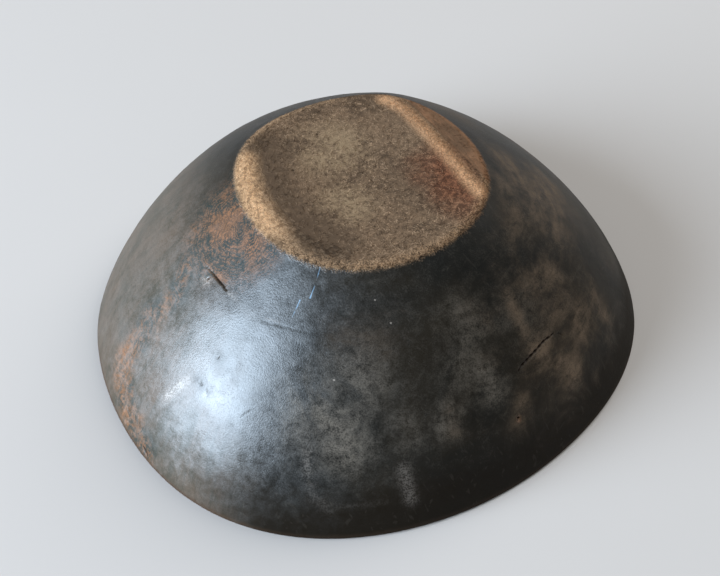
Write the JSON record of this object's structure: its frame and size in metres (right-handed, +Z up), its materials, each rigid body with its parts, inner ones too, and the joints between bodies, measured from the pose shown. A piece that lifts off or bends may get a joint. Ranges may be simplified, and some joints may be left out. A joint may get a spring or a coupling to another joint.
{
  "type": "wooden bowl",
  "caption": "Hand-carved one-piece wooden bowl with a raw flat foot, slightly out of round, shown rim down.",
  "frame": {"origin": "middle of the rim's extents, on the plane that the rim rests on", "axes": "+Z up through the foot, away from the rim; front of the picture at -Y; +X to the right"},
  "size_m": [0.2984, 0.3028, 0.1015],
  "materials": {
    "bowl": "dark worn patina with a soft sheen, raw brown wood on the foot"
  },
  "bodies": {
    "root": {"bowl": "bowl"}
  },
  "joints": []
}
